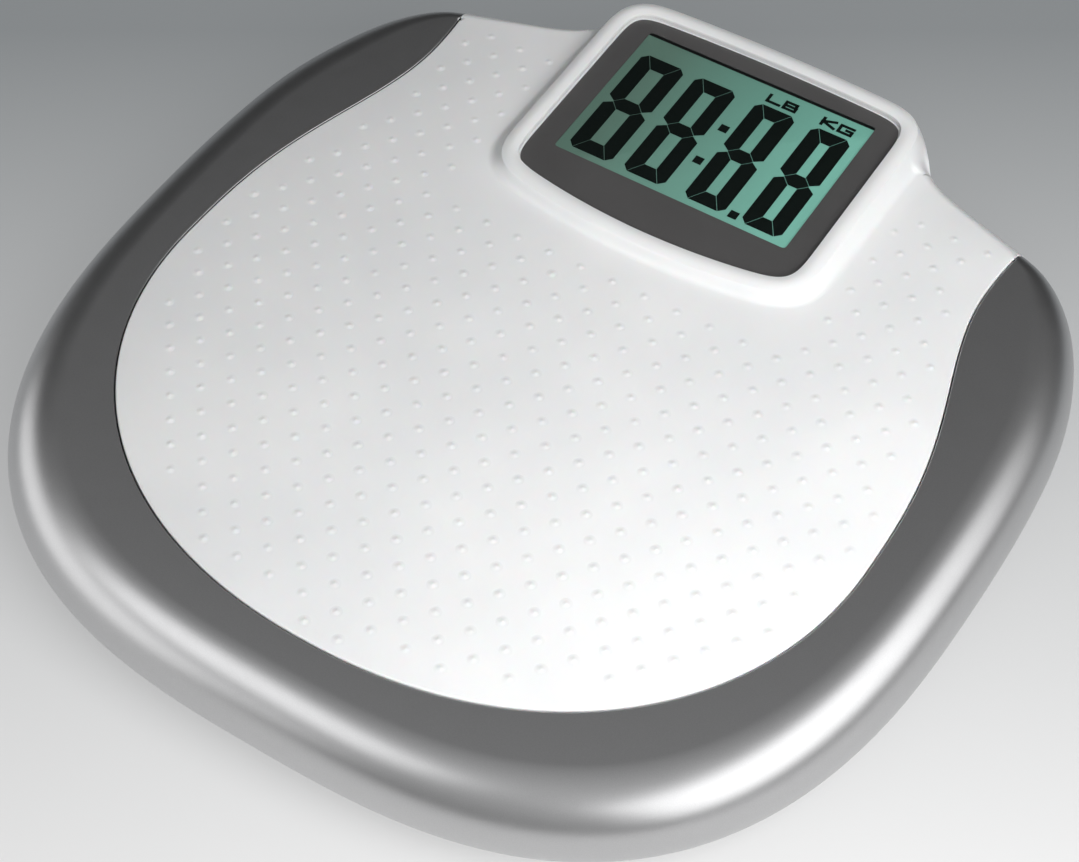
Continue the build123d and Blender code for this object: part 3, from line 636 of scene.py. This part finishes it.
def deck_skin():
    """The flat deck, its rounded edge, the rear wall on each side of the hood, and the hood."""
    skin = Skin()
    lean = groove_lean(0.0)
    first_rear = int(np.argmin(lean > math.pi / 2 - 1e-6))
    tip = FLAT_EDGE[first_rear]
    edge = deck_edge(-DECK_ROUND, tip[1])
    rear_right = FLAT_EDGE[first_rear:HOOD_STATION + 1]
    rear_left = rear_right * (-1, 1)
    foot = FOOT[:, :2]
    front = np.concatenate([foot[HOOD_COUNT - HOOD_SIDE + 1:], foot[:HOOD_SIDE]])
    outline = np.concatenate([edge, rear_left, front, rear_right[::-1]])
    skin.flat(outline, DECK_Z)
    sides = []
    for n in range(6):
        turn = math.pi / 2 * n / 5
        loop = deck_edge(-DECK_ROUND * (1 - math.sin(turn)), tip[1] + 0.5)[:len(edge)]
        sides.append(upward(loop, DECK_Z - DECK_ROUND * (1 - math.cos(turn))))
    sides.append(upward(deck_edge(0, tip[1] + 0.5)[:len(edge)], DECK_Z - DECK_LIP))
    width = min(len(row) for row in sides)
    skin.rows([row[:width] for row in sides])
    walls = [on_side(math.pi / 2 + (np.maximum(lean, SKIRT_LEAN) - math.pi / 2) * n / 14, DECK_Z)
             for n in range(15)]
    skin.rows([row[first_rear - 1:HOOD_STATION + 1] for row in walls])
    mirrored = slice(ROUND_COUNT - HOOD_STATION, ROUND_COUNT - first_rear + 2)
    skin.rows([row[mirrored] for row in walls])
    rim = rim_rows()
    skin.rows(rim + hood_side_rows(rim[-1]), closed=True)
    return skin


def white_abs(name):
    """Glossy white ABS: almost clear of grain, with a slow drift of tone and a little light in its body."""
    material, tree, shader = new_material(name, (0.82, 0.82, 0.82), 0.28)
    tint(tree, shader, noise(tree, 60), (0.80, 0.805, 0.81), (0.86, 0.86, 0.86))
    spread(tree, noise(tree, 5), shader.inputs["Roughness"], 0.26, 0.34)
    relief(tree, shader, noise(tree, 0.8), 0.006)
    shader.inputs["Subsurface Weight"].default_value = 0.08
    shader.inputs["Subsurface Scale"].default_value = 0.002
    return material


white = white_abs("white ABS")
deck = deck_skin().piece("white_deck", ROOT, white, "white_plastic", wall=1.4)
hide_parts("deck")


# ---------------------------------------------------------------- grip pips
# Low domes stand on the deck in staggered rows, so that a wet foot doesn't slip.
# They are part of the deck's moulding, so they share its plastic.

PIP_RADIUS = 1.7
PIP_RISE = 0.27
PIP_PITCH_X = 12.55
PIP_PITCH_Y = 15.8
PIP_START = (9.7, 13.9)
PIP_MARGIN = 7.0  # from the deck's edge at its sides
PIP_BOWL = 0.96  # and in front, as a share of the deck's reach
PIP_REAR_Y = 118.0
PIP_HOOD_Y = 42.0  # pips further back than this keep clear of the hood
PIP_SIDES = 20


def pip_places():
    """Centres of the pips that fit inside the deck's edge and clear of the hood."""
    places = []
    for row in range(-20, 21):
        y = PIP_START[1] + row * PIP_PITCH_Y / 2
        for n in range(-12, 13):
            x = PIP_START[0] + (n + (row % 2) / 2) * PIP_PITCH_X
            inside = abs(x) < deck_half_width(y) - PIP_MARGIN and y < PIP_REAR_Y
            reach = math.hypot(x / DECK_HALF_WIDTH, (y - DECK_WIDEST_Y) / (DECK_WIDEST_Y - DECK_FRONT_Y))
            in_bowl = reach < PIP_BOWL or y > DECK_WIDEST_Y
            by_hood = y > PIP_HOOD_Y and abs(x) < WINDOW_HALF_WIDTH + FOOT_SIDE + 4
            if inside and in_bowl and not by_hood:
                places.append((x, y))
    return places


def pip_skin():
    """All the domes, each with a flared foot that runs out into the deck."""
    skin = Skin()
    turns = np.linspace(0, 2 * math.pi, PIP_SIDES, endpoint=False)
    circle = [(math.cos(turn), math.sin(turn)) for turn in turns]
    for x, y in pip_places():
        rings = []
        for share in (1.25, 1.0, 0.82, 0.64, 0.46, 0.28, 0.1):
            z = DECK_Z + (PIP_RISE * math.exp(-2.6 * share**2) - PIP_RISE * 0.02)
            radius = PIP_RADIUS * share
            rings.append([(x + radius * across, y + radius * along, z) for across, along in circle])
        skin.rows(rings, closed=True)
        tip = len(skin.points)
        skin.points.append((x, y, DECK_Z + PIP_RISE * 0.98))
        last = tip - PIP_SIDES
        skin.faces.extend((last + n, last + (n + 1) % PIP_SIDES, tip) for n in range(PIP_SIDES))
    return skin


pips = pip_skin().piece("grip_pips", ROOT, white, "white_plastic")


# ---------------------------------------------------------------- display
# Behind the window are a printed border, the LCD's glass with its black segments, and an edge-lit
# sheet. A black frame clamps them onto the board through two strips of striped rubber.

display_low, display_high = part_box("display_glass")
LCD_HALF = (46.0, 32.9)  # half of the opening in the printed border
LCD_Y = HOOD_Y + 6.6
MASK_TOP, MASK_FLOOR = -1.84, -2.08  # from the window's face, as are the other depths here
CELL_TOP, CELL_FLOOR = -2.5, -4.65
CELL_Y = HOOD_Y + 1.1


def rounded_rectangle(half_x, half_y, softness, count):
    """A rectangle with soft corners, round the middle of the display's opening."""
    corners = [(0, -half_y), (half_x, -half_y), (half_x, half_y), (-half_x, half_y), (-half_x, -half_y)]
    return soft_loop(corners, softness, count) + (0, LCD_Y)


def printed_border():
    """Dark grey film bonded under the window, with a rectangular opening for the display."""
    skin = Skin()
    outer = WINDOW - WINDOW_OUT * 0.5
    start = rounded_rectangle(*LCD_HALF, 0.9, HOOD_COUNT)
    rows = []
    for lift, loop in ((MASK_FLOOR, outer), (MASK_TOP, outer), (MASK_TOP, start), (MASK_FLOOR, start)):
        rows.append(np.column_stack([loop, window_z(loop[:, 1], lift)]))
    skin.rows(rows + rows[:1], closed=True)
    return skin


mask_ink = moulded_plastic("mask ink", (0.082, 0.079, 0.079), 0.5, 0.5, 0.004)
border = printed_border().piece("printed_border", ROOT, mask_ink, "mask_print")
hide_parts("window_mask")


def backlit_glass(name):
    """The LCD's cell: green and lit from one edge, so brighter to the right."""
    material, tree, shader = new_material(name, (0.10, 0.42, 0.33), 0.35)
    place = tree.nodes.new("ShaderNodeTexCoord")
    axes = tree.nodes.new("ShaderNodeSeparateXYZ")
    across = tree.nodes.new("ShaderNodeMapRange")
    across.inputs["From Min"].default_value = display_low.x
    across.inputs["From Max"].default_value = display_high.x
    tree.links.new(place.outputs["Object"], axes.inputs["Vector"])
    tree.links.new(axes.outputs["X"], across.inputs["Value"])
    dim, bright = (0.072, 0.130, 0.103), (0.125, 0.315, 0.255)
    ramp = tint(tree, shader, across.outputs["Result"], dim, bright, 0.15, 0.90)
    tree.links.new(ramp.outputs["Color"], shader.inputs["Emission Color"])
    shader.inputs["Emission Strength"].default_value = 0.6
    relief(tree, shader, noise(tree, 0.4), 0.002)
    return material


def plate_rows(loop, low, high, soften):
    """The side of a plate in the hood's tilt, with a softened top edge, from its underside's rim."""
    steps = [(0.0, low), (0.0, high - soften), (-0.3 * soften, high - 0.3 * soften), (-soften, high)]
    normal = outwards(loop)
    rows = []
    for inset, lift in steps:
        ring = loop + normal * inset
        rows.append(np.column_stack([ring, window_z(ring[:, 1], lift)]))
    return rows


def cap(skin, row):
    """Closes a row of points with a fan round its middle."""
    start = len(skin.points)
    skin.points.extend(map(tuple, row))
    skin.points.append(tuple(np.mean(row, axis=0)))
    count = len(row)
    skin.faces.extend((start + n, start + (n + 1) % count, start + count) for n in range(count))


def plate(loop, low, high, soften=0.3):
    """A closed plate between two depths."""
    skin = Skin()
    rows = plate_rows(loop, low, high, soften)
    skin.rows(rows, closed=True)
    cap(skin, rows[0])
    cap(skin, rows[-1])
    return skin


glass_half = ((display_high.x - display_low.x) / 2 / MM, (display_high.y - display_low.y) / 2 / MM)
glass_loop = rounded_rectangle(glass_half[0], glass_half[1] + 0.6, 0.4, 160) - (0, LCD_Y - CELL_Y)
lcd_green = backlit_glass("LCD green")
glass = plate(glass_loop, CELL_FLOOR, CELL_TOP).piece("display_cell", ROOT, lcd_green, "display_glass")
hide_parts("display_glass")

DIGIT_BOXES = [(-42.7, -25.2), (-20.5, -3.9), (4.0, 20.0), (26.5, 42.0)]  # left and right of each digit
DIGIT_Y = (82.5, 135.0)
STROKE = 5.9
STROKE_GAP = 0.12
DOTS = [(0.4, 99.7), (0.4, 117.4), (23.4, 84.0)]  # the colon and the decimal point
DOT_HALF = 1.7
INK_LIFT, INK_THICKNESS = -2.47, 0.05


def ink(skin, outline):
    """A flat patch of black with a hair of thickness, so that it is a closed piece."""
    outline = np.array(outline, float)
    count = len(outline)
    for lift in (INK_LIFT, INK_LIFT + INK_THICKNESS):
        skin.points.extend((x, y, float(window_z(y, lift))) for x, y in outline)
    start = len(skin.points) - 2 * count
    skin.faces.append(tuple(range(start + count, start + 2 * count)))
    skin.faces.append(tuple(reversed(range(start, start + count))))
    for n in range(count):
        m = (n + 1) % count
        skin.faces.append((start + n, start + m, start + count + m, start + count + n))


def digit(skin, left, right, bottom, top):
    """The seven bars of one digit, with bevelled ends and hairline gaps between them."""
    middle = (bottom + top) / 2
    half = STROKE / 2
    bevel = STROKE * 0.38
    inset = STROKE + STROKE_GAP
    start, stop = left + half, right - half
    ink(skin, [(start, middle), (start + half, middle - half), (stop - half, middle - half),
               (stop, middle), (stop - half, middle + half), (start + half, middle + half)])
    for y, inwards in ((top, -1), (bottom, 1)):
        ink(skin, [(left + bevel, y), (right - bevel, y), (right - inset, y + inwards * STROKE),
                   (left + inset, y + inwards * STROKE)])
        tip = middle - inwards * 2 * STROKE_GAP
        for x, aside in ((left, 1), (right, -1)):
            inner = x + aside * STROKE
            ink(skin, [(x, y + inwards * bevel), (x + aside * (bevel - STROKE_GAP), y + inwards * STROKE_GAP),
                       (inner, y + inwards * inset), (inner, tip - inwards * half),
                       (x + aside * half, tip), (x, tip - inwards * half * 0.7)])


def dot(skin, x, y):
    """One square dot."""
    ink(skin, [(x + across * DOT_HALF, y + along * DOT_HALF)
               for across, along in ((-1, -1), (1, -1), (1, 1), (-1, 1))])


# Unit marks, as strokes on a grid three wide and four high.
UNIT_STROKES = {
    "L": [((0, 4), (0, 0)), ((0, 0), (3, 0))],
    "B": [((0, 0), (0, 4)), ((0, 4), (2.6, 4)), ((0, 2), (2.8, 2)), ((0, 0), (2.8, 0)),
          ((2.8, 0), (2.8, 2)), ((2.6, 2), (2.6, 4))],
    "K": [((0, 0), (0, 4)), ((0, 2), (2.8, 4)), ((0, 2), (3, 0))],
    "G": [((3, 4), (0, 4)), ((0, 4), (0, 0)), ((0, 0), (3, 0)), ((3, 0), (3, 2)), ((3, 2), (1.7, 2))],
}
UNIT_SPANS = {"LB": (6.5, 19.6), "KG": (28.2, 41.6)}
UNIT_Y = (137.3, 140.5)
UNIT_STROKE = 1.2


def unit_mark(skin, letters, left, right, bottom, top):
    """Two small letters in straight strokes."""
    each = (right - left) / len(letters)
    for n, letter in enumerate(letters):
        scale = (each * 0.72 / 3, (top - bottom) / 4)
        for (x0, y0), (x1, y1) in UNIT_STROKES[letter]:
            a = np.array([left + n * each + x0 * scale[0], bottom + y0 * scale[1]])
            b = np.array([left + n * each + x1 * scale[0], bottom + y1 * scale[1]])
            along = (b - a) / np.linalg.norm(b - a) * UNIT_STROKE / 2
            side = np.array([-along[1], along[0]])
            ink(skin, [a - along - side, b + along - side, b + along + side, a - along + side])


def segments_skin():
    """Four digits, the colon, the decimal point and the two unit marks."""
    skin = Skin()
    for left, right in DIGIT_BOXES:
        digit(skin, left, right, *DIGIT_Y)
    for x, y in DOTS:
        dot(skin, x, y)
    for letters, span in UNIT_SPANS.items():
        unit_mark(skin, letters, *span, *UNIT_Y)
    return skin


lcd_ink = moulded_plastic("LCD black", (0.002, 0.005, 0.004), 0.6, 0.5, 0.002)
lcd_ink.node_tree.nodes["Principled BSDF"].inputs["Specular IOR Level"].default_value = 0.1
segments = segments_skin().piece("display_segments", ROOT, lcd_ink, "display_glass", weld=0.001)

lit_acrylic = moulded_plastic("lit acrylic", (0.20, 0.62, 0.45), 0.25, 1.0, 0.005)
finish("light_guide", lit_acrylic)
finish("lamp_bar", moulded_plastic("lamp housing", (0.66, 0.70, 0.58), 0.35))
finish("contact_strips", rubber("contact rubber", (0.05, 0.05, 0.055)))
finish("glass_frame", black_plastic)
finish("main_board", board_green)
finish("chip_cover", moulded_plastic("black resin", (0.008, 0.008, 0.008), 0.15, 2.5, 0.05))
finish("board_parts", black_plastic)
finish("lead_headers", natural_nylon)


# ---------------------------------------------------------------- window
# A clear acrylic window, 1.8 mm thick with eased edges, bonded into the hood by the border film.
# It sits just under the crown of the rim.

def clear_acrylic(name):
    """Clear sheet, seen as a faint gloss over what lies under it."""
    material, tree, shader = new_material(name, (0.02, 0.022, 0.022), 0.06)
    shader.inputs["Alpha"].default_value = 0.04
    shader.inputs["IOR"].default_value = 1.49
    spread(tree, noise(tree, 12), shader.inputs["Roughness"], 0.05, 0.12)
    relief(tree, shader, noise(tree, 20, 1.0), 0.01)
    return material


clear = clear_acrylic("clear acrylic")
WINDOW_THICKNESS = 1.8
window_plate = plate(WINDOW - WINDOW_OUT * 0.1, -WINDOW_THICKNESS, 0.0, 0.35)
window = window_plate.piece("clear_window", ROOT, clear, "clear_window")
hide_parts("window")


# ---------------------------------------------------------------- floor, light and camera
# A pale floor under the scale whose glow is painted light, painted darker far away. Two soft key lights stand
# at the front right, and large soft panels on both sides give the silver ring its streaks.

# painted light: the floor glows, and so the scale's shadow on it is washed out
PAINTED_FLOOR_GLOW = 2.0
FLOOR_HALF = 6.0
FLOOR_GAP = 0.0005  # the table lies just under the feet
FLOOR_STEPS = 41
PAINTED_FLOOR_FADE = (-0.17, 0.20)  # the floor's painted light fades between these distances from the middle, away from the camera


def pale_floor():
    """A large pale floor with a painted glow, whose painted tone falls off away from the front."""
    mesh = bpy.data.meshes.new("floor")
    steps = np.linspace(-FLOOR_HALF, FLOOR_HALF, FLOOR_STEPS)
    grid_x, grid_y = np.meshgrid(steps, steps)
    level = np.full(grid_x.size, cad_box[0][2] - FLOOR_GAP)
    points = np.column_stack([grid_x.ravel(), grid_y.ravel(), level])
    corners = [n * FLOOR_STEPS + m for n in range(FLOOR_STEPS - 1) for m in range(FLOOR_STEPS - 1)]
    faces = [(n, n + 1, n + FLOOR_STEPS + 1, n + FLOOR_STEPS) for n in corners]
    mesh.from_pydata(points.tolist(), [], faces)
    floor = bpy.data.objects.new("floor", mesh)
    bpy.context.scene.collection.objects.link(floor)
    material, tree, shader = new_material("pale floor with painted glow", (0.3, 0.3, 0.3), 0.9)
    shader.inputs["Specular IOR Level"].default_value = 0.0
    shader.inputs["Emission Strength"].default_value = PAINTED_FLOOR_GLOW
    place = tree.nodes.new("ShaderNodeTexCoord")
    turn = tree.nodes.new("ShaderNodeMapping")
    turn.inputs["Rotation"].default_value = (0, 0, math.radians(-CAMERA_AZIMUTH))
    axes = tree.nodes.new("ShaderNodeSeparateXYZ")
    away = tree.nodes.new("ShaderNodeMapRange")
    away.inputs["From Min"].default_value = PAINTED_FLOOR_FADE[0]
    away.inputs["From Max"].default_value = PAINTED_FLOOR_FADE[1]
    tree.links.new(place.outputs["Object"], turn.inputs["Vector"])
    tree.links.new(turn.outputs["Vector"], axes.inputs["Vector"])
    tree.links.new(axes.outputs["Y"], away.inputs["Value"])
    # painted light: colour and glow bright near the camera and painted darker far away
    near, far = (0.265, 0.265, 0.265), (0.092, 0.097, 0.100)
    ramp = tint(tree, shader, away.outputs["Result"], near, far, 0.0, 1.0)
    tree.links.new(ramp.outputs["Color"], shader.inputs["Emission Color"])
    mesh.materials.append(material)


CAMERA_AZIMUTH = 32.6  # degrees from straight in front, towards the right
CAMERA_ELEVATION = 51.4
CAMERA_DISTANCE = 0.827
AIR_TILT = 64.0  # the brightest part of the surroundings stands this high above the camera's side
AIR_STOPS = ((0.26, 0.03), (0.43, 0.13), (0.57, 0.30), (0.95, 0.46))  # how far along that way, and tone
CAMERA_AIM = Vector((-0.0043, 0.0047, -0.0095))
FRAME_WIDTH, LENS_IN_FRAMES = 36.0, 2.2243


def heading(azimuth, elevation):
    """The way to a place round the scale, from its azimuth and its height in degrees."""
    turn, rise = math.radians(azimuth), math.radians(elevation)
    return Vector((math.sin(turn) * math.cos(rise), -math.cos(turn) * math.cos(rise), math.sin(rise)))


def soft_light(name, azimuth, elevation, distance, size, radiance, sheen):
    """A soft box turned towards the scale: a sheen panel shows in gloss, and a key lights matt surfaces."""
    way = heading(CAMERA_AZIMUTH + azimuth, elevation)
    light = bpy.data.lights.new(name, "AREA")
    light.shape = "RECTANGLE"
    light.size, light.size_y = size
    light.energy = 4 * radiance * size[0] * size[1]  # a panel's watts for that radiance
    thing = bpy.data.objects.new(name, light)
    thing.location = way * distance
    thing.rotation_euler = way.to_track_quat("Z", "Y").to_euler()
    thing.visible_camera = False
    thing.visible_diffuse = not sheen
    thing.visible_glossy = sheen
    bpy.context.scene.collection.objects.link(thing)


def studio_air():
    """Soft surroundings: brightest overhead and in front, and dark behind the scale."""
    world = bpy.data.worlds.new("studio")
    world.use_nodes = True
    tree = world.node_tree
    place = tree.nodes.new("ShaderNodeTexCoord")
    along = tree.nodes.new("ShaderNodeVectorMath")
    along.operation = "DOT_PRODUCT"
    along.inputs[1].default_value = heading(CAMERA_AZIMUTH, AIR_TILT)
    fade = tree.nodes.new("ShaderNodeValToRGB")
    for n, (height, tone) in enumerate(AIR_STOPS):
        stop = fade.color_ramp.elements[n] if n < 2 else fade.color_ramp.elements.new(height)
        stop.position = height
        stop.color = (tone, tone * 1.005, tone * 1.01, 1)
    tree.links.new(place.outputs["Generated"], along.inputs[0])
    tree.links.new(along.outputs["Value"], fade.inputs["Fac"])
    tree.links.new(fade.outputs["Color"], tree.nodes["Background"].inputs["Color"])
    bpy.context.scene.world = world


def camera():
    """A long lens, looking down at the front right corner."""
    back = heading(CAMERA_AZIMUTH, CAMERA_ELEVATION)
    eye = bpy.data.cameras.new("camera")
    eye.sensor_width = FRAME_WIDTH
    eye.lens = FRAME_WIDTH * LENS_IN_FRAMES
    thing = bpy.data.objects.new("camera", eye)
    thing.location = CAMERA_AIM + back * CAMERA_DISTANCE
    thing.rotation_euler = back.to_track_quat("Z", "Y").to_euler()
    bpy.context.scene.collection.objects.link(thing)
    bpy.context.scene.camera = thing


pale_floor()
soft_light("near_key", 25, 40, 0.52, (0.30, 0.30), 3.0, False)
soft_light("far_key", 32, 50, 0.80, (0.50, 0.50), 3.6, False)
soft_light("right_sheen", 58, 36, 1.5, (2.1, 1.2), 1.55, True)
soft_light("left_sheen", -90, 15, 1.5, (2.1, 0.72), 1.05, True)
soft_light("high_left_sheen", -70, 50, 1.5, (1.0, 0.7), 1.15, True)
studio_air()
camera()
bpy.context.scene.view_settings.view_transform = "Standard"
